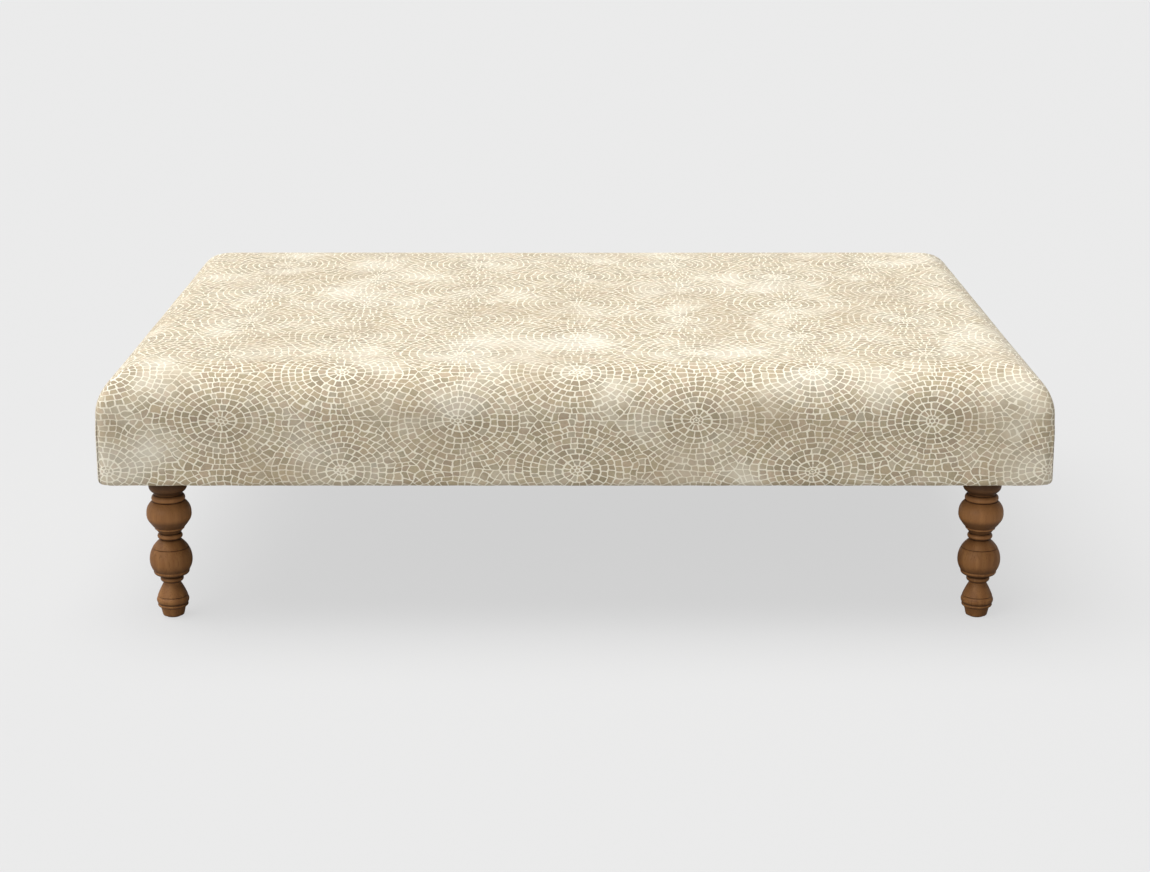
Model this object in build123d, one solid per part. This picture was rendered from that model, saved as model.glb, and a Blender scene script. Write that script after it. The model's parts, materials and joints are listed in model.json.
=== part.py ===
from build123d import *
import math
import os

# Upholstered coffee-table ottoman on four turned legs. Millimetres, +Z up.
# The origin is on the floor under the middle of the ottoman; the front faces -Y.

# Overall sizes
width = 1270.0
depth = 903.0
body_height = 158.0
crown_rise = 4.0
leg_length = 205.5

# Soft top: cover, wadding and foam
edge_radius = 63.5
corner_radius = 12.0
corner_relief = 0.3
hem_radius = 10.0
cover_thickness = 1.5
wadding_thickness = 8.0
wadding_lift = 6.0
soft_gap = 0.3
least_radius = 0.5
cut_overrun = 10.0
hem_turn = 38.0
dust_thickness = 0.6
dust_inset = 14.0
dust_leg_gap = 2.0

# Wooden frame
rail_thickness = 19.0
rail_height = 80.0
deck_thickness = 12.0
cross_rail_height = 60.0
cross_rail_place_share = 0.17
block_width = 100.0
block_height = 38.0
block_clip = 34.0

# Legs, their threaded fixings and their glides
leg_inset = 80.0
ball_radius = 30.5
washer_thickness = 1.5
washer_radius = 15.0
bolt_radius = 4.0
bolt_bite = 40.0
bolt_tip = 2.0
bolt_point = 7.0
thread_gap = 0.05
bolt_hole_gap = 0.6
tee_flange_radius = 11.0
tee_flange_thickness = 1.5
tee_barrel_radius = 5.0
tee_length = 11.0
prong_length = 7.0
prong_width = 3.0
prong_thickness = 1.2
prong_place_radius = 9.0
prong_count = 4
glide_radius = 11.0
glide_thickness = 2.0
glide_bevel = 0.5
nail_head_radius = 4.0
nail_head_thickness = 0.6
nail_head_cover = 0.8
nail_radius = 1.1
nail_length = 18.0

# Wood screws and where they sit
screw_head_radius = 4.4
screw_head_depth = 3.2
screw_radius = 2.2
screw_point = 4.0
rail_screw_length = 55.0
block_screw_length = 50.0
deck_screw_length = 38.0
rail_screw_height_shares = (0.15, 0.75)
cross_screw_height_shares = (0.28, 0.72)
block_screw_long_height_share = 0.3
block_screw_short_height_share = 0.7
block_screw_place_shares = (0.2, 0.8)
deck_long_place_shares = (-0.44, -0.26, 0.0, 0.26, 0.44)
deck_short_place_shares = (-0.25, 0.25)

# Staples
staple_crown = 10.0
staple_leg = 9.0
staple_width = 1.2
staple_wire = 0.6
cover_staple_inset = 18.0
cover_staple_pitch = 62.0
dust_staple_inset = 25.0
dust_staple_pitch = 88.0
staple_corner_space = 45.0

# Heights of the layers above the floor, from the floor up
leg_top = glide_thickness + leg_length
frame_base = leg_top + washer_thickness
hem_base = frame_base - cover_thickness
frame_top = frame_base + rail_height
deck_top = frame_top + deck_thickness
block_top = frame_base + block_height

# Plan sizes of the frame inside the soft layers
wadding_inset = cover_thickness + soft_gap
frame_inset = wadding_inset + wadding_thickness + soft_gap
frame_width = width - 2 * frame_inset
frame_depth = depth - 2 * frame_inset
inner_width = frame_width - 2 * rail_thickness
inner_depth = frame_depth - 2 * rail_thickness
rail_line_x = frame_width / 2 - rail_thickness / 2
rail_line_y = frame_depth / 2 - rail_thickness / 2
cross_rail_x = frame_width * cross_rail_place_share
leg_x = width / 2 - leg_inset
leg_y = depth / 2 - leg_inset
bolt_top = block_top + tee_flange_thickness + bolt_tip

corners = {
    "front_left": (-1, -1),
    "front_right": (1, -1),
    "rear_left": (-1, 1),
    "rear_right": (1, 1),
}

# Outline of a turned leg from its seat down to its foot. Each row is the height as a share of
# the leg's length, the radius as a share of the ball's radius, and the bulge of the stretch that
# leads down to that point, as a share of that stretch: 0 is straight, more swells outwards.
turned_outline_shares = (
    (0.910, 0.852, 0.0),
    (0.856, 0.610, 0.20),
    (0.849, 0.584, 0.0),
    (0.843, 0.610, 0.0),
    (0.800, 0.715, 0.27),
    (0.798, 0.685, 0.0),
    (0.795, 0.745, 0.0),
    (0.716, 1.000, 0.12),
    (0.655, 0.885, 0.10),
    (0.615, 0.672, 0.02),
    (0.606, 0.662, 0.0),
    (0.603, 0.625, 0.0),
    (0.577, 0.490, 0.0),
    (0.573, 0.465, 0.0),
    (0.535, 0.465, 0.38),
    (0.531, 0.440, 0.0),
    (0.476, 0.800, 0.05),
    (0.473, 0.780, 0.0),
    (0.470, 0.815, 0.0),
    (0.399, 0.954, 0.06),
    (0.318, 0.815, 0.08),
    (0.314, 0.795, 0.0),
    (0.286, 0.680, 0.22),
    (0.276, 0.480, 0.0),
    (0.272, 0.462, 0.0),
    (0.236, 0.432, 0.30),
    (0.231, 0.398, 0.0),
    (0.223, 0.396, 0.0),
    (0.138, 0.672, 0.02),
    (0.133, 0.650, 0.0),
    (0.130, 0.668, 0.0),
    (0.087, 0.680, 0.18),
    (0.083, 0.648, 0.0),
    (0.081, 0.662, 0.0),
    (0.062, 0.630, 0.28),
    (0.057, 0.566, 0.0),
    (0.006, 0.487, 0.0),
    (0.0, 0.470, 0.0),
)


def box_between(x, y, z):
    """A box from its (low, high) pair on each axis."""
    size = (x[1] - x[0], y[1] - y[0], z[1] - z[0])
    centre = ((x[0] + x[1]) / 2, (y[0] + y[1]) / 2, (z[0] + z[1]) / 2)
    return Pos(*centre) * Box(*size)


def plank(centre_x, centre_y, long_x, long_y, z):
    """An upright-sided plank about a centre, between two heights."""
    x = (centre_x - long_x / 2, centre_x + long_x / 2)
    y = (centre_y - long_y / 2, centre_y + long_y / 2)
    return box_between(x, y, z)


def turned(points):
    """A solid of revolution about Z from (radius, height) points that start and end on the axis."""
    outline = Polyline(*points, close=True)
    return revolve(Plane.XZ * make_face(outline), Axis.Z)


# Soft top


def shrunk(radius, inset):
    """An outer radius seen from further in, never quite sharp."""
    return max(radius - inset, least_radius)


def quarter_middle(centre_x, centre_z, side, up, radius):
    """The middle of a quarter arc about a centre, towards side (-1 or 1) and up (-1 or 1)."""
    reach = radius * math.sqrt(0.5)
    return (centre_x + side * reach, centre_z + up * reach)


def cushion_outline(half, inset):
    """The section of the soft top across one direction: turned hem, sides, soft edges and crown."""
    base, top = hem_base + inset, hem_base + body_height - inset
    edge, hem = shrunk(edge_radius, inset), shrunk(hem_radius, inset)
    flat, sole = half - edge, half - hem
    lines = [
        Line((-sole, base), (sole, base)),
        ThreePointArc((sole, base), quarter_middle(sole, base + hem, 1, -1, hem), (half, base + hem)),
        Line((half, base + hem), (half, top - edge)),
        ThreePointArc((half, top - edge), quarter_middle(flat, top - edge, 1, 1, edge), (flat, top)),
        ThreePointArc((flat, top), (0, top + crown_rise), (-flat, top)),
        ThreePointArc((-flat, top), quarter_middle(-flat, top - edge, -1, 1, edge), (-half, top - edge)),
        Line((-half, top - edge), (-half, base + hem)),
        ThreePointArc((-half, base + hem), quarter_middle(-sole, base + hem, -1, -1, hem), (-sole, base)),
    ]
    return make_face(lines)


def cushion_form(inset):
    """The crowned, soft-edged form of the top, taken in all round by inset."""
    half_x, half_y = width / 2 - inset, depth / 2 - inset
    plan_size = (2 * (half_x + corner_relief), 2 * (half_y + corner_relief))
    plan = RectangleRounded(*plan_size, shrunk(corner_radius, inset))
    tower = extrude(plan, leg_top + body_height + cut_overrun)
    across = extrude(Plane.XZ * cushion_outline(half_x, inset), half_y + cut_overrun, both=True)
    along = extrude(Plane.YZ * cushion_outline(half_y, inset), half_x + cut_overrun, both=True)
    return tower & across & along


def make_cover(staples):
    """The fabric: one skin over top and sides, turned in under the frame and stapled there."""
    skin = cushion_form(0) - cushion_form(cover_thickness)
    opening_z = (hem_base - cut_overrun, frame_base + cut_overrun)
    opening = plank(0, 0, width - 2 * hem_turn, depth - 2 * hem_turn, opening_z)
    return skin - opening - staples


def make_wadding():
    """The wadding: over the foam and down the outside of the rails, open underneath."""
    above = plank(0, 0, width, depth, (frame_base + wadding_lift, deck_top + body_height))
    foam_z = (deck_top, deck_top + body_height)
    foam_room = cushion_form(frame_inset - soft_gap) & plank(0, 0, width, depth, foam_z)
    frame_size = (frame_width + 2 * soft_gap, frame_depth + 2 * soft_gap)
    frame_room = plank(0, 0, *frame_size, (frame_base, deck_top))
    return (cushion_form(wadding_inset) & above) - frame_room - foam_room


def make_foam():
    """The foam slab on the deck, with the crown and the soft edges of the top."""
    above = plank(0, 0, width, depth, (deck_top, deck_top + body_height))
    return cushion_form(frame_inset) & above


def make_dust_cover(staples):
    """The thin cloth under the frame, trimmed round the four legs."""
    size_x, size_y = width - 2 * dust_inset, depth - 2 * dust_inset
    cloth = plank(0, 0, size_x, size_y, (hem_base - dust_thickness, hem_base))
    hole_radius = turned_outline_shares[0][1] * ball_radius + dust_leg_gap
    for side_x, side_y in corners.values():
        hole = Cylinder(hole_radius, 2 * dust_thickness)
        cloth -= Pos(side_x * leg_x, side_y * leg_y, hem_base - dust_thickness / 2) * hole
    return cloth - staples


# Fasteners


def wood_screw(length):
    """A countersunk wood screw that points along -Z with the top of its head at the origin."""
    neck, tip = -screw_head_depth, -length
    return turned(
        [
            (0, 0),
            (screw_head_radius, 0),
            (screw_radius, neck),
            (screw_radius, tip + screw_point),
            (0, tip),
        ]
    )


def screws_from_face(length, places, turn):
    """Copies of one screw at places, each turned by the given rotation."""
    screw = wood_screw(length)
    return [Pos(*place) * turn * screw for place in places]


def screws_from_front_and_rear(length, stations, heights):
    """Screws driven inwards from the outer faces of the front and rear rails."""
    driven = []
    for side in (-1, 1):
        places = [(x, side * frame_depth / 2, z) for x in stations for z in heights]
        driven += screws_from_face(length, places, Rot(-side * 90, 0, 0))
    return driven


def screws_from_sides(length, stations, heights):
    """Screws driven inwards from the outer faces of the left and right rails."""
    driven = []
    for side in (-1, 1):
        places = [(side * frame_width / 2, y, z) for y in stations for z in heights]
        driven += screws_from_face(length, places, Rot(0, side * 90, 0))
    return driven


def make_rail_screws():
    heights = [frame_base + share * rail_height for share in rail_screw_height_shares]
    return screws_from_front_and_rear(rail_screw_length, (-rail_line_x, rail_line_x), heights)


def make_cross_rail_screws():
    heights = [frame_top - share * cross_rail_height for share in cross_screw_height_shares]
    return screws_from_front_and_rear(rail_screw_length, (-cross_rail_x, cross_rail_x), heights)


def make_block_screws():
    long_height = [frame_base + block_screw_long_height_share * block_height]
    short_height = [frame_base + block_screw_short_height_share * block_height]
    near = [share * block_width for share in block_screw_place_shares]
    stations_x = [side * (inner_width / 2 - step) for side in (-1, 1) for step in near]
    stations_y = [side * (inner_depth / 2 - step) for side in (-1, 1) for step in near]
    driven = screws_from_front_and_rear(block_screw_length, stations_x, long_height)
    return driven + screws_from_sides(block_screw_length, stations_y, short_height)


def make_deck_screws():
    long_x = [share * frame_width for share in deck_long_place_shares]
    short_y = [share * frame_depth for share in deck_short_place_shares]
    places = [(x, side * rail_line_y, deck_top) for side in (-1, 1) for x in long_x]
    places += [(side * rail_line_x, y, deck_top) for side in (-1, 1) for y in short_y]
    places += [(side * cross_rail_x, y, deck_top) for side in (-1, 1) for y in short_y]
    return screws_from_face(deck_screw_length, places, Rot(0, 0, 0))


def staple(crown_height):
    """A staple driven upwards, its crown along X and its underside at crown_height."""
    half = staple_crown / 2
    crown_z = (crown_height, crown_height + staple_wire)
    leg_z = (crown_height, crown_height + staple_leg)
    y = (-staple_width / 2, staple_width / 2)
    shape = box_between((-half, half), y, crown_z)
    for side in (-1, 1):
        ends = sorted((side * half, side * (half - staple_wire)))
        shape += box_between(ends, y, leg_z)
    return shape


def spread(half, pitch):
    """Evenly spaced places within half either side of zero, no further apart than pitch."""
    steps = max(1, math.ceil(2 * half / pitch))
    return [-half + 2 * half * step / steps for step in range(steps + 1)]


def ring_of_staples(inset, pitch, crown_height):
    """Staples all round the underside at one distance in from the fabric's faces."""
    line_x, line_y = width / 2 - inset, depth / 2 - inset
    shape = staple(crown_height)
    ring = []
    for x in spread(line_x - staple_corner_space, pitch):
        ring += [Pos(x, side * line_y, 0) * shape for side in (-1, 1)]
    for y in spread(line_y - staple_corner_space, pitch):
        ring += [Pos(side * line_x, y, 0) * Rot(0, 0, 90) * shape for side in (-1, 1)]
    return ring


# Frame


def make_long_rail(side, fasteners):
    """The front (side -1) or rear (side 1) rail, the full width of the frame."""
    rail = plank(0, side * rail_line_y, frame_width, rail_thickness, (frame_base, frame_top))
    return rail - fasteners


def make_side_rail(side, fasteners):
    """The left (side -1) or right (side 1) rail, between the front and rear rails."""
    rail = plank(side * rail_line_x, 0, rail_thickness, inner_depth, (frame_base, frame_top))
    return rail - fasteners


def make_cross_rail(side, fasteners):
    """A rail from front to rear that stops the deck from sagging."""
    z = (frame_top - cross_rail_height, frame_top)
    return plank(side * cross_rail_x, 0, rail_thickness, inner_depth, z) - fasteners


def make_deck(fasteners):
    """The plywood panel on top of the rails."""
    return plank(0, 0, frame_width, frame_depth, (frame_top, deck_top)) - fasteners


def make_corner_block(side_x, side_y, fasteners):
    """The block in one corner that holds a leg, with its inner corner clipped off."""
    reach_x, reach_y = side_x * inner_width / 2, side_y * inner_depth / 2
    far_x, far_y = reach_x - side_x * block_width, reach_y - side_y * block_width
    outline = Polyline(
        (reach_x, reach_y),
        (far_x, reach_y),
        (far_x, far_y + side_y * block_clip),
        (far_x + side_x * block_clip, far_y),
        (reach_x, far_y),
        close=True,
    )
    block = extrude(Pos(0, 0, frame_base) * make_face(outline), block_height)
    middle = Pos(side_x * leg_x, side_y * leg_y, frame_base + block_height / 2)
    clearance_hole = Cylinder(bolt_radius + bolt_hole_gap, 2 * block_height)
    return block - middle * clearance_hole - fasteners


# Legs and their fixings


def make_tee_nut():
    """A pronged tee nut on the leg's axis, its flange on top of the block."""
    barrel_base = block_top + tee_flange_thickness - tee_length
    outer = [
        (0, barrel_base),
        (tee_barrel_radius, barrel_base),
        (tee_barrel_radius, block_top),
        (tee_flange_radius, block_top),
        (tee_flange_radius, block_top + tee_flange_thickness),
        (0, block_top + tee_flange_thickness),
    ]
    nut = turned(outer)
    prong = box_between(
        (prong_place_radius - prong_thickness / 2, prong_place_radius + prong_thickness / 2),
        (-prong_width / 2, prong_width / 2),
        (block_top - prong_length, block_top),
    )
    for step in range(prong_count):
        nut += Rot(0, 0, step * 360 / prong_count) * prong
    bore = Cylinder(bolt_radius + thread_gap, 2 * tee_length)
    return nut - Pos(0, 0, block_top) * bore


def make_hanger_bolt():
    """A bolt with a wood thread in the leg and a machine thread up through the tee nut."""
    base = leg_top - bolt_bite
    return turned(
        [
            (0, base),
            (bolt_radius, base + bolt_point),
            (bolt_radius, bolt_top - bolt_tip / 2),
            (bolt_radius - bolt_tip / 2, bolt_top),
            (0, bolt_top),
        ]
    )


def make_leg_washer():
    """The flat washer between the leg's seat and the corner block."""
    middle = Pos(0, 0, leg_top + washer_thickness / 2)
    hole = Cylinder(bolt_radius + bolt_hole_gap, 2 * washer_thickness)
    return middle * (Cylinder(washer_radius, washer_thickness) - hole)


def make_glide_nail():
    """The nail that is moulded into the glide and driven up into the foot."""
    head_base = nail_head_cover
    head_top = head_base + nail_head_thickness
    tip = head_top + nail_length
    return turned(
        [
            (0, head_base),
            (nail_head_radius, head_base),
            (nail_head_radius, head_top),
            (nail_radius, head_top),
            (nail_radius, tip - 2 * nail_radius),
            (0, tip),
        ]
    )


def make_glide(nail):
    """The smooth disc under the foot that stands on the floor."""
    disc = turned(
        [
            (0, 0),
            (glide_radius - glide_bevel, 0),
            (glide_radius, glide_bevel),
            (glide_radius, glide_thickness),
            (0, glide_thickness),
        ]
    )
    return disc - nail


def bulged(start, end, bulge):
    """The edge between two outline points: straight, or an arc that swells by bulge of its length."""
    if bulge == 0:
        return Line(start, end)
    step_r, step_z = end[0] - start[0], end[1] - start[1]
    middle = ((start[0] + end[0]) / 2 - step_z * bulge, (start[1] + end[1]) / 2 + step_r * bulge)
    return ThreePointArc(start, middle, end)


def make_leg(bolt, nail):
    """One turned leg about its own axis, standing on its glide."""
    seat_radius = turned_outline_shares[0][1] * ball_radius
    point = (seat_radius, leg_top)
    edges = [Line((0, leg_top), point)]
    for height_share, radius_share, bulge_share in turned_outline_shares:
        following = (radius_share * ball_radius, glide_thickness + height_share * leg_length)
        edges.append(bulged(point, following, bulge_share))
        point = following
    edges.append(Line(point, (0, point[1])))
    edges.append(Line((0, point[1]), (0, leg_top)))
    wood = revolve(Plane.XZ * make_face(edges), Axis.Z)
    return wood - bolt - nail


# Assembly


def leg_set():
    """The pieces that repeat at each leg, about the leg's own axis."""
    bolt, nail = make_hanger_bolt(), make_glide_nail()
    return {
        "leg": make_leg(bolt, nail),
        "hanger_bolt": bolt,
        "leg_washer": make_leg_washer(),
        "foot_glide": make_glide(nail),
        "glide_nail": nail,
        "tee_nut": make_tee_nut(),
    }


def near(pieces, box):
    """Those pieces that reach into a box, so that a part is only cut by what crosses it."""
    return [piece for piece in pieces if (piece & box).volume > 0]


def build_parts():
    """Every node's name and its solid or group of solids."""
    rail_screws = make_rail_screws()
    cross_screws = make_cross_rail_screws()
    block_screws = make_block_screws()
    deck_screws = make_deck_screws()
    cover_staples = ring_of_staples(cover_staple_inset, cover_staple_pitch, hem_base)
    dust_staples = ring_of_staples(
        dust_staple_inset, dust_staple_pitch, hem_base - dust_thickness
    )
    screws = rail_screws + cross_screws + block_screws + deck_screws
    staples = cover_staples + dust_staples

    parts = {}
    z = (frame_base, frame_top)
    for name, side in (("front", -1), ("rear", 1)):
        room = plank(0, side * rail_line_y, frame_width, rail_thickness, z)
        parts[f"{name}_rail"] = make_long_rail(side, near(screws + staples, room))
    for name, side in (("left", -1), ("right", 1)):
        room = plank(side * rail_line_x, 0, rail_thickness, inner_depth, z)
        parts[f"{name}_rail"] = make_side_rail(side, near(screws + staples, room))
        cross_room = plank(side * cross_rail_x, 0, rail_thickness, inner_depth, z)
        parts[f"cross_rail_{name}"] = make_cross_rail(side, near(screws, cross_room))
    parts["deck_panel"] = make_deck(deck_screws)

    repeated = leg_set()
    for corner, (side_x, side_y) in corners.items():
        place = Pos(side_x * leg_x, side_y * leg_y, 0)
        for name, shape in repeated.items():
            parts[f"{name}_{corner}"] = place * shape
        room = plank(side_x * leg_x, side_y * leg_y, 2 * block_width, 2 * block_width, z)
        cutters = near(block_screws, room) + [place * repeated["tee_nut"]]
        parts[f"corner_block_{corner}"] = make_corner_block(side_x, side_y, cutters)

    parts["foam_core"] = make_foam()
    parts["wadding"] = make_wadding()
    parts["cover"] = make_cover(staples)
    parts["dust_cover"] = make_dust_cover(dust_staples)
    parts["rail_screws"] = rail_screws
    parts["cross_rail_screws"] = cross_screws
    parts["block_screws"] = block_screws
    parts["deck_screws"] = deck_screws
    parts["cover_staples"] = cover_staples
    parts["dust_cover_staples"] = dust_staples
    return parts


def write_node(node, shape):
    """Writes one node: a single solid, or a group of separate solids."""
    pieces = shape if isinstance(shape, list) else [shape]
    solids = [solid for piece in pieces for solid in piece.solids()]
    whole = solids[0] if len(solids) == 1 else Compound(children=solids)
    export_step(whole, f"parts/{node}.step")


os.makedirs("parts", exist_ok=True)
for node_name, node_shape in build_parts().items():
    write_node(node_name, node_shape)
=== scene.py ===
import json
import math

import bpy
import numpy as np
from mathutils.kdtree import KDTree
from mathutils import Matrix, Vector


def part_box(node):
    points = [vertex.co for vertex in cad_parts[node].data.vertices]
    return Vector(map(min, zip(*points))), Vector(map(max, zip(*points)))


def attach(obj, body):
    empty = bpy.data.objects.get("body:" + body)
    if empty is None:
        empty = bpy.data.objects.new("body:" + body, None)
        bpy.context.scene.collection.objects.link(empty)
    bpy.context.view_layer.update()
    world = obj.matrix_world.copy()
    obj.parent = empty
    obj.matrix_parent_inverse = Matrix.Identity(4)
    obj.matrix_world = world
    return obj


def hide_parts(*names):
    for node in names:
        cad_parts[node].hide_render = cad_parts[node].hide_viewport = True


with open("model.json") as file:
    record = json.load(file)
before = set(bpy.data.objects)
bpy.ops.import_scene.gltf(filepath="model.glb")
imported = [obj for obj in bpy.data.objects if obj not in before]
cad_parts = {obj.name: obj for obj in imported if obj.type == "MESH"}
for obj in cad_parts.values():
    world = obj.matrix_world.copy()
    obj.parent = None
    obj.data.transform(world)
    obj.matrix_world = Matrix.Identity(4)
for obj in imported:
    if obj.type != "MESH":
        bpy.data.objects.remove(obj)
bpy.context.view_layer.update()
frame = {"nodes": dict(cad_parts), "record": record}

# Metres, +Z up, front towards -Y. The sizes of the CAD pieces come from the frame.
nodes = frame["nodes"]
cover_low, cover_high = (np.array(corner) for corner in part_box("cover"))
half_x, half_y = cover_high[0], cover_high[1]
hem_z = cover_low[2]
corners = ("front_left", "front_right", "rear_left", "rear_right")

# Soft top
crown_rise = 0.004
top_z = cover_high[2] - crown_rise
edge_radius = 0.0635
flat_x, flat_y = half_x - edge_radius, half_y - edge_radius
hem_radius = 0.008
corner_blend = 0.016
cloth_thickness = 0.0013
hem_turn = 0.038
staple_pitch = 0.060
stapled_wave = 0.0005
stapled_height = 0.05
soft_wave = 0.0007
wave_room = 0.0006  # how far the sides stand in, so that their waves stay near the cover's box
fold_back = 0.016
fold_step = 0.0011
wadding_inset = 0.0024
wadding_thickness = 0.0075
foam_inset = 0.0106
wadding_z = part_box("front_rail")[0][2] + 0.006
foam_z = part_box("deck_panel")[1][2]
coarse_cell, fine_cell = 0.0075, 0.0027
bottom_reach = 0.003  # what lies this close above the hem counts as the underside

# Cloth simulation
swell = 0.0018
cloth_cell = 0.016
cloth_frames = 20
cloth_pressure = 0.3
held_height = 0.004
free_from, free_to = 0.002, 0.030  # above the hem, the heights between which the moves come in

# Dust cloth
dust_cell = 0.0075
dust_hole_radius = 0.0285
dust_sag = 0.0028
dust_thickness = 0.0004
dust_staple_inset, dust_staple_pitch = 0.011, 0.0855

# Print: rings of stones about centres on a half-drop lattice, in the cloth's own lengths
ring_centre_drop = 0.1804
ring_centre_across = 0.3125
print_start = np.array([0.0028, -0.0353])
print_rate_top = 0.855
print_reach = (0.0, 0.352, 0.42075, 0.49025, 0.55975, 0.8)
print_value = (0.0, 0.3010, 0.3961, 0.4863, 0.5765, 0.8884)
inner_rings = ((0.0034, 1), (0.0085, 6), (0.0195, 13), (0.0310, 17))  # outer radius, stones
light_ring = 0.0195  # the ring joint that is a little wider than the others
stone_ring = 0.00987
stone_length = 0.0101
stone_jitter = 0.36
outer_row = 5  # rows between the inner rings and the one that reaches the seams

# Legs: the heights between which painted light makes the wood lighter, and the heights of the painted shade
# that darkens it under the frame
painted_light_from, painted_light_to = 0.090, 0.160
shade_from, shade_to = 0.166, 0.194

# Camera, solved from the photograph
camera_height = 1.06835
camera_distance = 2.92135
camera_pitch = math.radians(15.14)
sensor_width = 36.0
lens = 71.84

# Light: each sun's name, strength, lean from overhead, turn and spread in degrees
suns = (("overhead", 3.04, 15, -86, 66), ("front_left", 0.55, 74, -38, 40))
sky_light, sky_slope = 0.29, 0.95
sky_in_gloss = 0.6
floor_glow = 0.775


def srgb(red, green, blue):
    """A linear colour from 0-255 display values."""
    def linear(value):
        value = value / 255
        return value / 12.92 if value <= 0.04045 else ((value + 0.055) / 1.055) ** 2.4

    return (linear(red), linear(green), linear(blue), 1.0)


# Node building


class Wire:
    """A shader socket that can be used in sums."""

    def __init__(self, tree, socket):
        self.tree, self.socket = tree, socket

    def math(self, operation, *others):
        node = self.tree.nodes.new("ShaderNodeMath")
        node.operation = operation
        for slot, value in zip(node.inputs, (self, *others)):
            feed(self.tree, slot, value)
        return Wire(self.tree, node.outputs[0])

    def __add__(self, other):
        return self.math("ADD", other)

    def __sub__(self, other):
        return self.math("SUBTRACT", other)

    def __mul__(self, other):
        return self.math("MULTIPLY", other)

    def __truediv__(self, other):
        return self.math("DIVIDE", other)

    def above(self, other):
        return self.math("GREATER_THAN", other)

    def below(self, other):
        return self.math("LESS_THAN", other)

    def floor(self):
        return self.math("FLOOR")

    def fraction(self):
        return self.math("FRACT")

    def size(self):
        return self.math("ABSOLUTE")

    def flipped(self):
        return self * -1.0 + 1.0


def feed(tree, slot, value):
    """Links a wire to an input, or writes a plain value there."""
    if isinstance(value, Wire):
        tree.links.new(value.socket, slot)
    else:
        slot.default_value = value


def node(tree, kind, inputs=None, output=0, **settings):
    """A new node with its settings and inputs; returns the wire of one output."""
    made = tree.nodes.new(kind)
    for name, value in settings.items():
        setattr(made, name, value)
    for name, value in (inputs or {}).items():
        feed(tree, made.inputs[name], value)
    return Wire(tree, made.outputs[output])


def vector(tree, x=0.0, y=0.0, z=0.0):
    return node(tree, "ShaderNodeCombineXYZ", {"X": x, "Y": y, "Z": z})


def split(tree, wire):
    made = tree.nodes.new("ShaderNodeSeparateXYZ")
    tree.links.new(wire.socket, made.inputs[0])
    return [Wire(tree, output) for output in made.outputs]


def choose(tree, factor, first, second):
    """A plain number between first (factor 0) and second (factor 1)."""
    return node(tree, "ShaderNodeMix", {0: factor, 2: first, 3: second}, data_type="FLOAT")


def tint(tree, factor, first, second, blend="MIX"):
    """A colour between first and second, or first blended with second."""
    return node(tree, "ShaderNodeMix", {0: factor, 6: first, 7: second}, output=2,
                data_type="RGBA", blend_type=blend)


def step(tree, value, low, high):
    """Rises smoothly from 0 at low to 1 at high."""
    return node(tree, "ShaderNodeMapRange", {0: value, 1: low, 2: high, 3: 0.0, 4: 1.0},
                interpolation_type="SMOOTHSTEP")


def ramp(tree, value, from_low, from_high, low, high):
    """A straight map from one range to another, held at its ends."""
    return node(tree, "ShaderNodeMapRange", {0: value, 1: from_low, 2: from_high, 3: low, 4: high})


def noise(tree, place, scale, detail=2.0, roughness=0.5, distortion=0.0):
    return node(tree, "ShaderNodeTexNoise",
                {"Vector": place, "Scale": scale, "Detail": detail, "Roughness": roughness,
                 "Distortion": distortion})


def chance(tree, x, y, z):
    """A random number from 0 to 1 that depends on three numbers."""
    return node(tree, "ShaderNodeTexWhiteNoise", {"Vector": vector(tree, x, y, z)},
                noise_dimensions="3D")


def stretched(tree, place, x, y, z):
    return node(tree, "ShaderNodeVectorMath", {0: place, 1: (x, y, z)}, operation="MULTIPLY")


def bump(tree, height, strength, distance, normal=None):
    inputs = {"Height": height, "Strength": strength, "Distance": distance}
    if normal:
        inputs["Normal"] = normal
    return node(tree, "ShaderNodeBump", inputs)


def new_material(name):
    """An empty material with a surface shader; returns the material, its tree and the shader."""
    material = bpy.data.materials.new(name)
    material.use_nodes = True
    return material, material.node_tree, material.node_tree.nodes["Principled BSDF"]


# Printed cloth


def nearest_centre(tree, u, v):
    """The offset from the nearest centre of the half-drop lattice, a number for that centre, the
    distance to it, and the way to where the next centre is as near."""
    across, drop = u / ring_centre_across, v / ring_centre_drop
    found = []
    for i, j in ((across.math("ROUND"), drop.math("ROUND")), (across.floor() + 0.5, drop.floor() + 0.5)):
        x, y = (across - i) * ring_centre_across, (drop - j) * ring_centre_drop
        found.append((x, y, i * 7.13 + j * 3.71, (x * x + y * y).math("SQRT")))
    pick = found[1][3].below(found[0][3])
    x, y, seed, distance = (choose(tree, pick, first, second) for first, second in zip(*found))
    across_way = (found[0][3] - found[1][3]).size() * 0.5
    return x, y, seed, distance, across_way.math("MINIMUM", y.size() * -1.0 + ring_centre_drop / 2)


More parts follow.
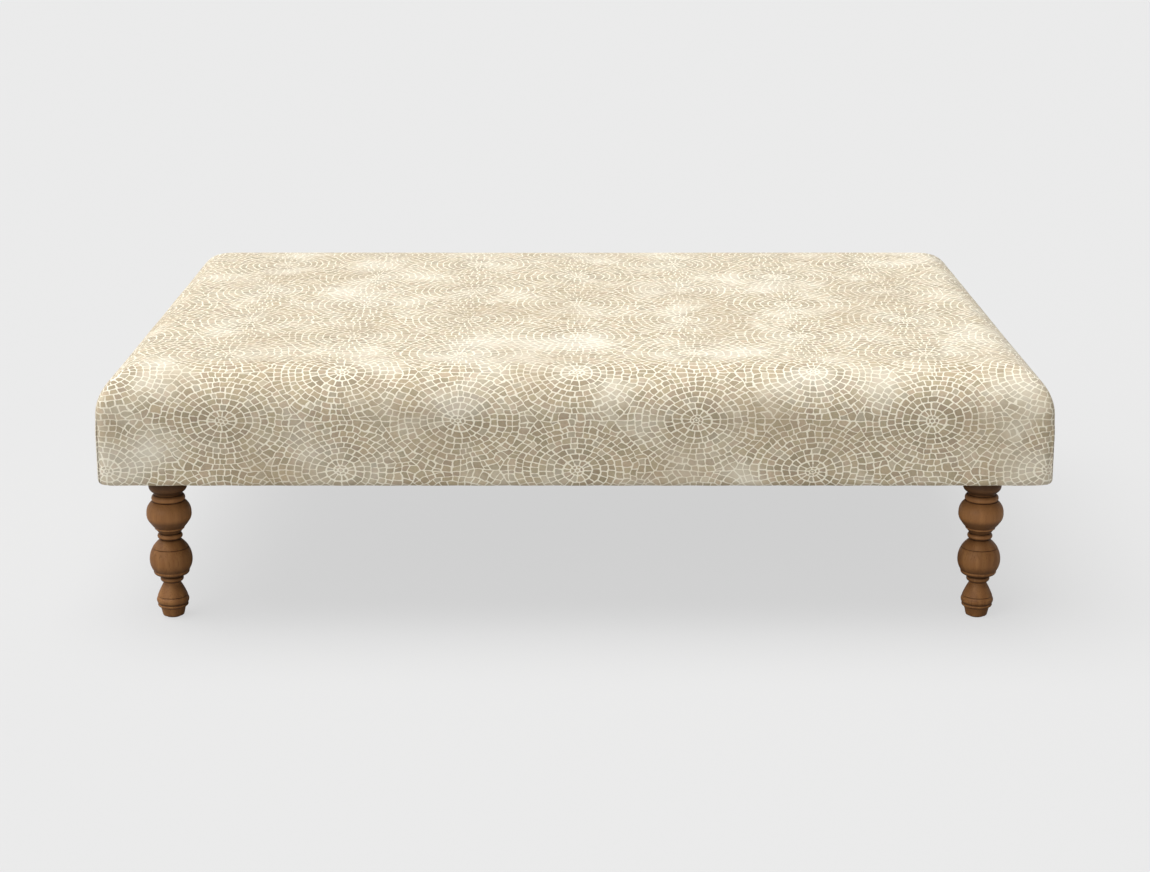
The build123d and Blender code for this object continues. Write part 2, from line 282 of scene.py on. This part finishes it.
def stones(tree, u, v):
    """How far a point is from the joints, two random numbers for its stone, and its ring's size."""
    place = vector(tree, u, v)
    x, y, seed, distance, seam = nearest_centre(tree, u, v)
    uneven = step(tree, distance, 0.035, 0.085) * 0.0025 + 0.0040
    level = distance + (noise(tree, place, 80.0, 1.0) - 0.5) * uneven

    last = inner_rings[-1][0]
    count = ((level - last) / stone_ring).math("MAXIMUM", 0.0)
    beyond = count - outer_row
    middle = (count.floor().math("MINIMUM", outer_row) + 0.5) * stone_ring + last
    number, width = (middle * math.tau / stone_length).math("ROUND"), stone_ring
    lows = (0.0, *(high for high, _ in inner_rings))
    for (high, ring_stones), low in reversed(list(zip(inner_rings, lows))):
        count = ramp(tree, level, low, high, 0.0, 1.0) + count
        outside = level.above(high)
        width, number = choose(tree, outside, high - low, width), choose(tree, outside, ring_stones, number)
    ring, rest = count.floor().math("MINIMUM", outer_row + len(inner_rings)), count.fraction()
    ring_edge = rest.math("MINIMUM", rest.flipped()) * width

    turn = y.math("ARCTAN2", x) / math.tau + 0.5
    start = chance(tree, seed, ring, 0.5)
    along = turn * number + start
    index, rest = along.floor(), along.fraction()
    left, right = (
        (chance(tree, seed, ring, side.math("FLOORED_MODULO", number)) - 0.5) * stone_jitter
        for side in (index, index + 1.0)
    )
    to_left, to_right = rest - left, right + 1.0 - rest
    slant = (noise(tree, place, 120.0, 1.0) - 0.5) * 0.0024
    side_share = to_left.size().math("MINIMUM", to_right.size())
    side_edge = (side_share * distance * math.tau / number + slant).size() + ring.below(1.0)
    index = index + to_right.below(0.0) - to_left.below(0.0)
    stone = index.math("FLOORED_MODULO", number)

    # The outer row reaches the seams. Only near the corners of its hexagon is it cut in two.
    stone_turn = (index + 0.5 - start) / number
    from_corner = ((stone_turn * 6.0 + 0.5).fraction() - 0.5).size()
    second = from_corner.below(0.2)
    row_edge = beyond.math("MINIMUM", (beyond - 1.0).size() + second.flipped()) * stone_ring
    ring_edge = choose(tree, beyond.above(0.0), ring_edge, row_edge)
    ring = ring + second * beyond.above(1.0)

    edge = ring_edge.math("SMOOTH_MIN", side_edge, 0.0022).math("SMOOTH_MIN", seam, 0.0020)
    edge = edge + (noise(tree, place, 330.0, 2.0) - 0.5) * 0.0011
    return edge, chance(tree, seed + 0.37, ring, stone), chance(tree, seed + 0.81, ring, stone), level


def print_colour(tree, u, v):
    """The mosaic print: taupe, olive and pinkish stones on cream, with washes of tone."""
    place = vector(tree, u, v)
    loose = step(tree, nearest_centre(tree, u, v)[3], 0.040, 0.085)
    warp_u, warp_v = (
        (noise(tree, spot, 16.0, 1.0) - 0.5) * 0.011 + (noise(tree, spot, 40.0, 1.0) - 0.5) * loose * 0.011
        for spot in (place, vector(tree, v, u, 3.7))
    )
    edge, tone, hue, distance = stones(tree, u + warp_u, v + warp_v)

    width = ramp(tree, noise(tree, place, 60.0, 1.0), 0.3, 0.7, 0.00030, 0.00070)
    width = width + step(tree, (distance - light_ring).size(), 0.0025, 0.001) * 0.0003
    joint = step(tree, edge, width + 0.0006, width)

    taupe, olive = srgb(200, 182, 152), srgb(198, 183, 152)
    pink, pale = srgb(203, 183, 156), srgb(212, 199, 173)
    stone = tint(tree, step(tree, hue, 0.35, 0.5), taupe, olive)
    stone = tint(tree, step(tree, hue, 0.68, 0.76), stone, pink)
    stone = tint(tree, step(tree, hue, 0.9, 0.96), stone, pale)
    shade = ramp(tree, tone, 0.0, 1.0, 0.78, 1.05)
    core = step(tree, (distance - 0.030).size(), 0.024, 0.006) * -0.10 + 1.0
    wash = ramp(tree, noise(tree, place, 260.0, 3.0, 0.6), 0.3, 0.7, 0.89, 1.08)
    shade = shade * core * wash
    stone = tint(tree, 1.0, stone, node(tree, "ShaderNodeCombineColor",
                                        {"Red": shade, "Green": shade, "Blue": shade}), "MULTIPLY")

    cream = srgb(253, 247, 229)
    faded = step(tree, noise(tree, place, 9.5, 3.0, 0.6), 0.47, 0.72) * 0.45
    stone = tint(tree, faded, stone, cream)
    colour = tint(tree, joint * 0.98, stone, cream)

    dark = step(tree, noise(tree, vector(tree, u, v, 9.1), 8.0, 2.0), 0.50, 0.75)
    light = step(tree, noise(tree, vector(tree, u, v, 4.2), 6.5, 2.0), 0.52, 0.74)
    colour = tint(tree, dark * 0.30, colour, srgb(188, 168, 138))
    return tint(tree, light * 0.42, colour, srgb(255, 250, 235))


def weave(tree, u, v):
    """Height of a plain weave: threads that pass over and under each other."""
    threads = 2600.0
    warp = (u * threads).math("SINE")
    weft = (v * threads).math("SINE")
    slub = noise(tree, vector(tree, u * 18.0, v * 420.0), 4.0, 2.0)
    return warp * weft * 0.5 + slub * 0.6 + noise(tree, vector(tree, u * 420.0, v * 18.0), 4.0, 2.0) * 0.6


def printed_cloth():
    material, tree, shader = new_material("printed_cloth")
    place = split(tree, node(tree, "ShaderNodeUVMap", uv_map="print"))
    u, v = place[0], place[1]
    tree.links.new(print_colour(tree, u, v).socket, shader.inputs["Base Color"])
    height = weave(tree, u, v)
    tree.links.new(bump(tree, height, 0.35, 0.0003).socket, shader.inputs["Normal"])
    shader.inputs["Roughness"].default_value = 0.92
    shader.inputs["Specular IOR Level"].default_value = 0.2
    shader.inputs["Sheen Weight"].default_value = 0.12
    shader.inputs["Sheen Roughness"].default_value = 0.5
    return material


# Wood, metal, plastic and the hidden layers


def turned_wood():
    """Mid-brown stained hardwood with upright grain, with painted shade in its grooves, under the frame and
    on its undersides, and painted light that makes its upper part lighter.
    """
    material, tree, shader = new_material("turned_wood")
    place = node(tree, "ShaderNodeTexCoord", output=3)
    fine = noise(tree, stretched(tree, place, 900.0, 900.0, 26.0), 1.0, 4.0, 0.6)
    broad = noise(tree, stretched(tree, place, 90.0, 90.0, 7.0), 1.0, 3.0, 0.55, 0.6)
    x, y, z = split(tree, place)
    growth = (x + y * 0.35 + z * 0.05) * 420.0 + broad * 9.0
    bands = growth.math("SINE") * 0.5 + 0.5
    colour = tint(tree, broad, srgb(126, 84, 46), srgb(180, 127, 76))
    colour = tint(tree, bands * 0.35, colour, srgb(122, 77, 41))
    colour = tint(tree, step(tree, fine, 0.52, 0.70) * 0.55, colour, srgb(92, 58, 30))
    # painted shade: ambient occlusion darkens the wood in its grooves and recesses
    groove_shade = node(tree, "ShaderNodeAmbientOcclusion", {"Distance": 0.035}, output=1, samples=8,
                  only_local=True)
    # painted light: the wood is made lighter from these heights upward, standing in for light on the upper
    # balls
    colour = tint(tree, step(tree, z, painted_light_from, painted_light_to) * 0.28, colour, srgb(214, 152, 97))
    colour = tint(tree, step(tree, groove_shade, 0.90, 0.25) * 0.85, colour, srgb(42, 25, 14))
    # painted shade: the wood is darkened near its top, where it stands under the frame
    colour = tint(tree, step(tree, z, shade_from, shade_to) * 0.86, colour, srgb(46, 28, 15))
    # painted shade: faces that point downward are darkened
    facing = split(tree, node(tree, "ShaderNodeTexCoord", output=1))[2]
    colour = tint(tree, step(tree, facing, -0.10, -0.75) * 0.72, colour, srgb(42, 25, 14))
    tree.links.new(colour.socket, shader.inputs["Base Color"])
    rough = ramp(tree, fine, 0.3, 0.7, 0.42, 0.60)
    tree.links.new(rough.socket, shader.inputs["Roughness"])
    tree.links.new(bump(tree, fine, 0.25, 0.0003).socket, shader.inputs["Normal"])
    shader.inputs["Coat Weight"].default_value = 0.06
    shader.inputs["Coat Roughness"].default_value = 0.35
    shader.inputs["Specular IOR Level"].default_value = 0.22
    return material


def bare_wood(name, light, dark, grain):
    """Planed timber or plywood with grain along one direction, given as stretch factors."""
    material, tree, shader = new_material(name)
    place = node(tree, "ShaderNodeTexCoord", output=3)
    fine = noise(tree, stretched(tree, place, *grain), 1.0, 4.0, 0.6, 0.4)
    colour = tint(tree, step(tree, fine, 0.35, 0.7), light, dark)
    tree.links.new(colour.socket, shader.inputs["Base Color"])
    tree.links.new(bump(tree, fine, 0.3, 0.0004).socket, shader.inputs["Normal"])
    shader.inputs["Roughness"].default_value = 0.75
    return material


def zinc_steel():
    """Zinc-plated steel with a faint spangle and fine scratches."""
    material, tree, shader = new_material("zinc_steel")
    place = node(tree, "ShaderNodeTexCoord", output=3)
    spangle = noise(tree, place, 700.0, 3.0)
    colour = tint(tree, spangle, srgb(168, 168, 164), srgb(206, 206, 200))
    tree.links.new(colour.socket, shader.inputs["Base Color"])
    tree.links.new(ramp(tree, spangle, 0.3, 0.7, 0.30, 0.48).socket, shader.inputs["Roughness"])
    shader.inputs["Metallic"].default_value = 1.0
    return material


def glide_nylon():
    """Brown nylon, scuffed by the floor."""
    material, tree, shader = new_material("glide_nylon")
    place = node(tree, "ShaderNodeTexCoord", output=3)
    scuff = noise(tree, place, 900.0, 3.0, 0.7)
    colour = tint(tree, scuff, srgb(92, 72, 54), srgb(132, 108, 84))
    tree.links.new(colour.socket, shader.inputs["Base Color"])
    tree.links.new(ramp(tree, scuff, 0.3, 0.7, 0.40, 0.62).socket, shader.inputs["Roughness"])
    return material


def fibre_layer(name, light, dark, scale):
    """Foam or wadding: a pale open texture."""
    material, tree, shader = new_material(name)
    place = node(tree, "ShaderNodeTexCoord", output=3)
    cells = noise(tree, place, scale, 4.0, 0.7)
    tree.links.new(tint(tree, cells, light, dark).socket, shader.inputs["Base Color"])
    tree.links.new(bump(tree, cells, 0.6, 0.001).socket, shader.inputs["Normal"])
    shader.inputs["Roughness"].default_value = 1.0
    return material


def black_dust_cloth():
    """Black spun-bonded cloth with its regular pressed dimples and loose fibres."""
    material, tree, shader = new_material("black_dust_cloth")
    place = node(tree, "ShaderNodeTexCoord", output=3)
    x, y, _ = split(tree, place)
    dimples = (x * 3600.0).math("SINE") * (y * 3600.0).math("SINE")
    fibres = noise(tree, place, 1500.0, 4.0, 0.7)
    broad = noise(tree, place, 14.0, 2.0)
    colour = tint(tree, fibres, srgb(44, 44, 46), srgb(84, 84, 87))
    colour = tint(tree, broad * 0.5, colour, srgb(62, 61, 60))
    tree.links.new(colour.socket, shader.inputs["Base Color"])
    height = dimples * 0.6 + fibres
    tree.links.new(bump(tree, height, 0.4, 0.0003).socket, shader.inputs["Normal"])
    shader.inputs["Roughness"].default_value = 0.85
    shader.inputs["Sheen Weight"].default_value = 0.15
    return material


# Soft top's meshes


def rounded_step(a, b, radius):
    """The distance to the corner of two half-spaces at distances a and b, rounded by radius."""
    outside = np.hypot(np.maximum(a + radius, 0), np.maximum(b + radius, 0))
    return np.minimum(np.maximum(a, b), -radius) + outside


def soft_max(a, b, blend):
    """The larger of two values, eased where they are nearly equal."""
    near = np.maximum(blend - np.abs(a - b), 0) / blend
    return np.maximum(a, b) + near ** 2 * blend / 4


def smooth(value, low, high):
    share = np.clip((value - low) / (high - low), 0, 1)
    return share * share * (3 - 2 * share)


def crowned_top(points):
    """The height of the soft top's upper face: a shallow crown with faint unevenness."""
    x, y = points[:, 0], points[:, 1]
    lift_x, lift_y = (1 - np.clip(np.abs(v) / flat, 0, 1) ** 2 for v, flat in ((x, flat_x), (y, flat_y)))
    lift = -soft_max(-lift_x, -lift_y, 0.3)
    uneven = np.sin(7.3 * x + 1.1) * np.sin(8.9 * y + 0.4) + 0.6 * np.sin(15.1 * x - 9.7 * y + 2.0)
    return top_z + (crown_rise - swell + soft_wave * 0.4 * uneven) * np.maximum(lift, 0)


def reaches(points):
    """How far a point stands past the flat of the top in each direction."""
    return np.maximum(np.abs(points[:, 0]) - flat_x, 0), np.maximum(np.abs(points[:, 1]) - flat_y, 0)


def past_fold(points):
    """How far a point on the ends lies in front of, or behind, the folded edge of the front cloth."""
    a, b = reaches(points)
    return b - a * (1 - fold_back / edge_radius)


def side_wave(points):
    """How far the cloth on the sides stands in or out: pulls above the staples and the corner folds."""
    low = np.clip((hem_z + stapled_height - points[:, 2]) / stapled_height, 0, 1)
    along = points[:, 0] + points[:, 1]
    pulls = np.cos(math.tau * along / staple_pitch + 0.8 * np.sin(5.0 * along))
    soft = np.sin(9.0 * along + 1.3) + 0.5 * np.sin(23.0 * along)
    a, b = reaches(points)
    on_end = (a > b) * smooth(top_z - edge_radius - points[:, 2], 0, 0.025)
    fold = fold_step * on_end * smooth(past_fold(points), -fine_cell * 0.5, fine_cell * 0.5)
    return stapled_wave * pulls * low - soft_wave * 0.3 * soft * (1 - low) - fold


def form_distance(points, inset, base):
    """Signed distance to the soft top's form, taken in by inset, down to a base height."""
    wave = side_wave(points) + inset + wave_room
    side_x, side_y = np.abs(points[:, 0]) - half_x + wave, np.abs(points[:, 1]) - half_y + wave
    plan = soft_max(side_x, side_y, corner_blend)
    upper = rounded_step(plan, points[:, 2] - crowned_top(points) + inset, edge_radius - inset)
    lower = rounded_step(plan, base - points[:, 2], max(hem_radius - inset, 0.001))
    return np.maximum(upper, lower)


def settle(points, inset, base):
    """Moves the points onto the form along its own normals."""
    nudge = 1e-5
    for _ in range(14):
        here = form_distance(points, inset, base)
        slope = np.zeros_like(points)
        for axis in range(3):
            moved = points.copy()
            moved[:, axis] += nudge
            slope[:, axis] = (form_distance(moved, inset, base) - here) / nudge
        slope /= np.maximum(np.linalg.norm(slope, axis=1, keepdims=True), 1e-9)
        points = points - slope * here[:, None]
    return points


def cell_lines(low, high, fine_low, fine_high):
    """Grid positions from low to high, finer below fine_low and above fine_high."""
    lines = []
    for start, end, cell in ((low, fine_low, fine_cell), (fine_low, fine_high, coarse_cell),
                             (fine_high, high, fine_cell)):
        count = max(1, round((end - start) / cell)) if end > start else 0
        lines += [start + (end - start) * step / count for step in range(count)]
    return np.array(lines + [high])


def box_grid(lines):
    """Points and four-sided faces of a gridded box, with shared points along its edges."""
    counts = [len(line) - 1 for line in lines]
    numbers, points, faces = {}, [], []

    def number(index):
        if index not in numbers:
            numbers[index] = len(points)
            points.append([lines[axis][index[axis]] for axis in range(3)])
        return numbers[index]

    for fixed, level, flip in ((2, counts[2], False), (2, 0, True), (1, 0, False), (1, counts[1], True),
                               (0, 0, True), (0, counts[0], False)):
        a, b = [axis for axis in range(3) if axis != fixed]
        for i in range(counts[a]):
            for j in range(counts[b]):
                ring = []
                for di, dj in ((0, 0), (1, 0), (1, 1), (0, 1)):
                    index = [level] * 3
                    index[a], index[b] = i + di, j + dj
                    ring.append(number(tuple(index)))
                faces.append(ring[::-1] if flip else ring)
    return np.array(points), np.array(faces)


def simulate_filling():
    """How the filling pushes the cloth out, found by a cloth simulation: a coarse cloth of the same
    form, held along its hem, with pressure inside. Returns a tree of its places and the moves there,
    scaled so that the longest is the swell."""
    points, faces = box_grid([
        np.linspace(low, high, round((high - low) / cloth_cell) + 1)
        for low, high in ((-half_x, half_x), (-half_y, half_y), (hem_z, top_z))
    ])
    points = settle(points, 0, hem_z)
    cloth = make_mesh("cloth_form", points, faces)
    held = cloth.vertex_groups.new(name="held")
    held.add(np.nonzero(points[:, 2] < hem_z + held_height)[0].tolist(), 1.0, "REPLACE")
    settings = cloth.modifiers.new("cloth", "CLOTH").settings
    settings.vertex_group_mass = held.name
    settings.use_pressure = True
    settings.uniform_pressure_force = cloth_pressure
    settings.effector_weights.gravity = 0
    for frame_number in range(1, cloth_frames + 1):
        bpy.context.scene.frame_set(frame_number)
    result = cloth.evaluated_get(bpy.context.evaluated_depsgraph_get())
    moves = np.array([vertex.co for vertex in result.data.vertices]) - points
    bpy.data.objects.remove(cloth)
    bpy.context.scene.frame_set(1)

    tree = KDTree(len(points))
    for index, point in enumerate(points):
        tree.insert(point, index)
    tree.balance()
    return tree, moves * swell / np.linalg.norm(moves, axis=1).max()


def fill_out(points, filling):
    """Moves points as the simulated cloth moved near them, and leaves the hem where it is."""
    tree, moves = filling
    near = [tree.find_n(point, 6) for point in points.tolist()]
    numbers = np.array([[found[1] for found in places] for places in near])
    weights = np.exp(-(np.array([[found[2] for found in places] for places in near]) / cloth_cell) ** 2)
    weights /= weights.sum(axis=1, keepdims=True)
    free = smooth(points[:, 2], hem_z + free_from, hem_z + free_to)
    return points + (moves[numbers] * weights[:, :, None]).sum(axis=1) * free[:, None]


def soft_form(filling, inset, base, thickness=0.0, open_from=None):
    """The soft top's form as points and faces. With a thickness it is a layer whose bottom is open
    beyond open_from from the edge."""
    lines = [
        cell_lines(-half + inset, half - inset, -flat, flat)
        for half, flat in ((half_x, flat_x), (half_y, flat_y))
    ]
    lines.append(cell_lines(base, top_z - inset, base + hem_radius, top_z - edge_radius))
    points, faces = box_grid(lines)
    if open_from is not None:
        middles = points[faces].mean(axis=1)
        beyond = np.minimum(half_x - np.abs(middles[:, 0]), half_y - np.abs(middles[:, 1]))
        faces = faces[(middles[:, 2] > base + 1e-6) | (beyond < open_from)]
    used, faces = np.unique(faces, return_inverse=True)
    points, faces = points[used], faces.reshape(-1, 4)
    outer = fill_out(settle(points, inset, base), filling)
    if not thickness:
        return outer, faces
    inner = fill_out(settle(points, inset + thickness, base + thickness), filling)
    count = len(outer)
    edges = np.concatenate([faces[:, [k, (k + 1) % 4]] for k in range(4)])
    _, first, times = np.unique(np.sort(edges, axis=1), axis=0, return_index=True, return_counts=True)
    rim = edges[first[times == 1]]
    rim_faces = np.stack([rim[:, 1], rim[:, 0], rim[:, 0] + count, rim[:, 1] + count], 1)
    return np.concatenate([outer, inner]), np.concatenate([faces, faces[:, ::-1] + count, rim_faces])


def make_mesh(name, points, faces, material=None):
    """A smooth-shaded mesh object at the origin."""
    mesh = bpy.data.meshes.new(name)
    mesh.from_pydata(points.tolist(), [], faces.tolist())
    if material:
        mesh.materials.append(material)
    mesh.polygons.foreach_set("use_smooth", [True] * len(mesh.polygons))
    mesh.update()
    piece = bpy.data.objects.new(name, mesh)
    bpy.context.scene.collection.objects.link(piece)
    return piece


def thicken(piece, thickness):
    """Gives a sheet its thickness, half to each side, and writes the result into its mesh."""
    solid = piece.modifiers.new("thickness", "SOLIDIFY")
    solid.thickness = thickness
    solid.offset = 0
    evaluated = piece.evaluated_get(bpy.context.evaluated_depsgraph_get())
    mesh = bpy.data.meshes.new_from_object(evaluated)
    piece.modifiers.clear()
    piece.data = mesh


def print_places(points):
    """Where points lie in the print: as laid over top, front and rear, and as laid down the two ends."""
    a, b = reaches(points)
    past = np.maximum(a, b)
    height = points[:, 2] - (top_z - edge_radius)
    arc = np.arctan2(past, np.maximum(height, 0)) * edge_radius
    under = np.where(points[:, 2] < hem_z + bottom_reach, np.maximum(edge_radius - hem_radius - past, 0), 0)
    over = np.where(past > 0, np.clip(arc, 0, edge_radius * math.pi / 2), 0) + np.maximum(-height, 0) + under
    side_x, side_y = np.sign(points[:, 0]), np.sign(points[:, 1])
    reach_y = np.minimum(np.abs(points[:, 1]), flat_y) + np.where(past > 0, over, 0) * (b > 0)
    front_u = side_x * (np.abs(points[:, 0]) + np.maximum(a - b, 0))
    front = np.stack([front_u, side_y * np.interp(reach_y, print_reach, print_value)], 1)
    reach_x = np.minimum(np.abs(points[:, 0]), flat_x) + over
    end = np.stack([side_x * reach_x, points[:, 1] * print_rate_top], 1)
    return front - print_start, end - print_start


def write_print_map(piece):
    """The print's coordinates on each corner of each face, changed over at the corner folds."""
    mesh = piece.data
    points = np.array([vertex.co for vertex in mesh.vertices])
    front, end = print_places(points)
    loop_points = np.array([loop.vertex_index for loop in mesh.loops])
    centres = np.array([face.center for face in mesh.polygons])
    a, b = reaches(centres)
    under = centres[:, 2] < hem_z + bottom_reach
    is_end = (a > 0) & np.where(under, a > b, past_fold(centres) < 0)
    is_end = np.repeat(is_end, [len(face.vertices) for face in mesh.polygons])
    chosen = np.where(is_end[:, None], end[loop_points], front[loop_points])
    layer = mesh.uv_layers.new(name="print")
    layer.data.foreach_set("uv", chosen.astype(np.float32).ravel())


def make_cover(filling, material):
    """The cloth over the top, sides and round the hem, with thickness and a turned-in edge."""
    cover = make_mesh("cover_cloth", *soft_form(filling, 0, hem_z, cloth_thickness, hem_turn), material)
    write_print_map(cover)
    return cover


def make_wadding(filling, material):
    """The wadding under the cloth, open below."""
    form = soft_form(filling, wadding_inset, wadding_z, wadding_thickness, 0)
    return make_mesh("wadding_layer", *form, material)


def make_foam(filling, material):
    """The foam block on the deck."""
    return make_mesh("foam_block", *soft_form(filling, foam_inset, foam_z), material)


# Dust cloth


def make_dust_cloth(material):
    """The thin cloth under the frame: it sags a little and puckers between its staples."""
    low, high = (np.array(corner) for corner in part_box("dust_cover"))
    counts = [round((high[axis] - low[axis]) / dust_cell) for axis in (0, 1)]
    xs = np.linspace(low[0], high[0], counts[0] + 1)
    ys = np.linspace(low[1], high[1], counts[1] + 1)
    grid_x, grid_y = np.meshgrid(xs, ys, indexing="ij")
    x, y = grid_x.ravel(), grid_y.ravel()
    edge = np.minimum(high[0] - np.abs(x), high[1] - np.abs(y))
    past_rail = np.clip((edge - 0.018) / 0.12, 0, 1)
    sag = dust_sag * past_rail * (1 + 0.35 * np.sin(6.1 * x + 0.7) * np.sin(7.7 * y + 0.2))
    along = np.where(high[0] - np.abs(x) < high[1] - np.abs(y), y, x)
    pucker = 0.0007 * np.cos(math.tau * along / dust_staple_pitch) * np.exp(-np.abs(edge - 0.035) / 0.03)
    flutter = 0.0005 * np.clip(edge / 0.02, 0, 1) * np.sin(61.0 * along + 3.0 * np.sin(17.0 * along))
    stapled = np.exp(-((edge - dust_staple_inset) / 0.006) ** 2)
    z = (low[2] + high[2]) / 2 - sag - (0.0006 + pucker + flutter) * (1 - stapled)
    points = np.stack([x, y, z], 1)

    columns = counts[1] + 1
    first = (np.arange(counts[0])[:, None] * columns + np.arange(counts[1])[None, :]).ravel()
    faces = np.stack([first, first + 1, first + 1 + columns, first + columns], 1)
    for corner in corners:
        leg_low, leg_high = (np.array(value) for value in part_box(f"leg_{corner}"))
        middle = ((leg_low + leg_high) / 2)[:2]
        offset = points[:, :2] - middle
        reach = np.linalg.norm(offset, axis=1)
        keep = (reach[faces] > dust_hole_radius - dust_cell * 0.4).all(axis=1)
        rim = np.intersect1d(faces[keep], faces[~keep])
        faces = faces[keep]
        points[rim, :2] = middle + offset[rim] * (dust_hole_radius / reach[rim])[:, None]
    used, faces = np.unique(faces, return_inverse=True)
    cloth = make_mesh("dust_cloth", points[used], faces.reshape(-1, 4), material)
    thicken(cloth, dust_thickness)
    return cloth


# Stage


def pale_surface(name):
    """The floor: pale grey, with only part of its look left to the light so that shadows stay soft."""
    material, tree, shader = new_material(name)
    shade = srgb(231, 231, 231)
    lit, unseen = srgb(222, 222, 222), srgb(178, 176, 172)
    shader.inputs["Roughness"].default_value = 1.0
    shader.inputs["Specular IOR Level"].default_value = 0.0
    glow = node(tree, "ShaderNodeEmission", {"Color": shade, "Strength": 1.0})
    path = tree.nodes.new("ShaderNodeLightPath")
    seen = Wire(tree, path.outputs["Is Camera Ray"])
    mixed = tree.nodes.new("ShaderNodeMixShader")
    feed(tree, mixed.inputs[0], seen * floor_glow)
    feed(tree, shader.inputs["Base Color"], tint(tree, seen, unseen, lit))
    tree.links.new(shader.outputs[0], mixed.inputs[1])
    tree.links.new(glow.socket, mixed.inputs[2])
    below = node(tree, "ShaderNodeNewGeometry", output=6)
    clear = tree.nodes.new("ShaderNodeBsdfTransparent")
    shown = tree.nodes.new("ShaderNodeMixShader")
    feed(tree, shown.inputs[0], below * seen)
    tree.links.new(mixed.outputs[0], shown.inputs[1])
    tree.links.new(clear.outputs[0], shown.inputs[2])
    tree.links.new(shown.outputs[0], tree.nodes["Material Output"].inputs["Surface"])
    return material


def make_stage():
    """A plain pale floor that fills the view."""
    reach = 30.0
    drop = -0.0002
    points = np.array([(-reach, -reach, drop), (reach, -reach, drop), (reach, reach, drop),
                       (-reach, reach, drop)])
    floor = make_mesh("floor", points, np.array([[0, 1, 2, 3]]), pale_surface("pale_floor"))


def add_sun(name, strength, lean, turn, spread):
    """A soft distant light, leant from overhead towards the front and turned about the vertical."""
    data = bpy.data.lights.new(name, "SUN")
    data.energy = strength
    data.angle = math.radians(spread)
    lamp = bpy.data.objects.new(name, data)
    lamp.rotation_euler = (math.radians(lean), 0, math.radians(turn))
    bpy.context.scene.collection.objects.link(lamp)


def light_scene():
    """Soft light from overhead, a weaker one from the front left, and a sky brighter on the left."""
    for sun in suns:
        add_sun(*sun)
    world = bpy.data.worlds.new("studio")
    bpy.context.scene.world = world
    world.use_nodes = True
    tree = world.node_tree
    sky = tree.nodes["Background"]
    sky.inputs["Color"].default_value = (1.0, 1.0, 1.0, 1.0)
    sideways = split(tree, node(tree, "ShaderNodeTexCoord"))[0]
    feed(tree, sky.inputs["Strength"], sideways * (-sky_slope * sky_light) + sky_light)
    path = tree.nodes.new("ShaderNodeLightPath")
    direct = Wire(tree, path.outputs["Is Camera Ray"])
    mirrored = Wire(tree, path.outputs["Is Glossy Ray"]) * sky_in_gloss
    seen = tree.nodes.new("ShaderNodeBackground")
    seen.inputs["Color"].default_value = srgb(235, 235, 235)
    mixed = tree.nodes.new("ShaderNodeMixShader")
    feed(tree, mixed.inputs[0], direct.math("MAXIMUM", mirrored))
    tree.links.new(sky.outputs[0], mixed.inputs[1])
    tree.links.new(seen.outputs[0], mixed.inputs[2])
    tree.links.new(mixed.outputs[0], tree.nodes["World Output"].inputs["Surface"])


def add_camera():
    data = bpy.data.cameras.new("camera")
    data.sensor_width = sensor_width
    data.sensor_fit = "HORIZONTAL"
    data.lens = lens
    data.clip_end = 100.0
    camera = bpy.data.objects.new("camera", data)
    camera.location = (0, -half_y - camera_distance, camera_height)
    camera.rotation_euler = (math.pi / 2 - camera_pitch, 0, 0)
    bpy.context.scene.collection.objects.link(camera)
    bpy.context.scene.camera = camera


def dress_model():
    """Gives each piece of the frame its material, by the record's slots."""
    slots = {entry["node"]: entry["material_slot"] for entry in frame["record"]["subparts"]}
    pine_light, pine_dark = srgb(222, 190, 144), srgb(190, 150, 102)
    finishes = {
        "leg_wood": turned_wood(),
        "frame_wood": bare_wood("pine", pine_light, pine_dark, (14.0, 14.0, 260.0)),
        "plywood": bare_wood("plywood", srgb(220, 192, 150), srgb(186, 150, 108), (9.0, 190.0, 600.0)),
        "zinc_steel": zinc_steel(),
        "glide_nylon": glide_nylon(),
    }
    for name, piece in nodes.items():
        if slots[name] in finishes:
            piece.data.materials.clear()
            piece.data.materials.append(finishes[slots[name]])


add_camera()
light_scene()
make_stage()
dress_model()

filling = simulate_filling()
white_wadding = fibre_layer("wadding", srgb(248, 248, 246), srgb(226, 226, 222), 300.0)
yellow_foam = fibre_layer("foam", srgb(240, 230, 192), srgb(222, 208, 160), 900.0)
for piece, stands_for, finish, fill in (
    (make_cover(filling, printed_cloth()), "cover", "printed_fabric", 0.9),
    (make_wadding(filling, white_wadding), "wadding", "wadding", 0.7),
    (make_foam(filling, yellow_foam), "foam_core", "foam", 0.95),
):
    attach(piece, "top")
    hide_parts(stands_for)

dust_cloth = make_dust_cloth(black_dust_cloth())
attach(dust_cloth, "top")
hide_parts("dust_cover")

bpy.context.scene.view_settings.view_transform = "Standard"
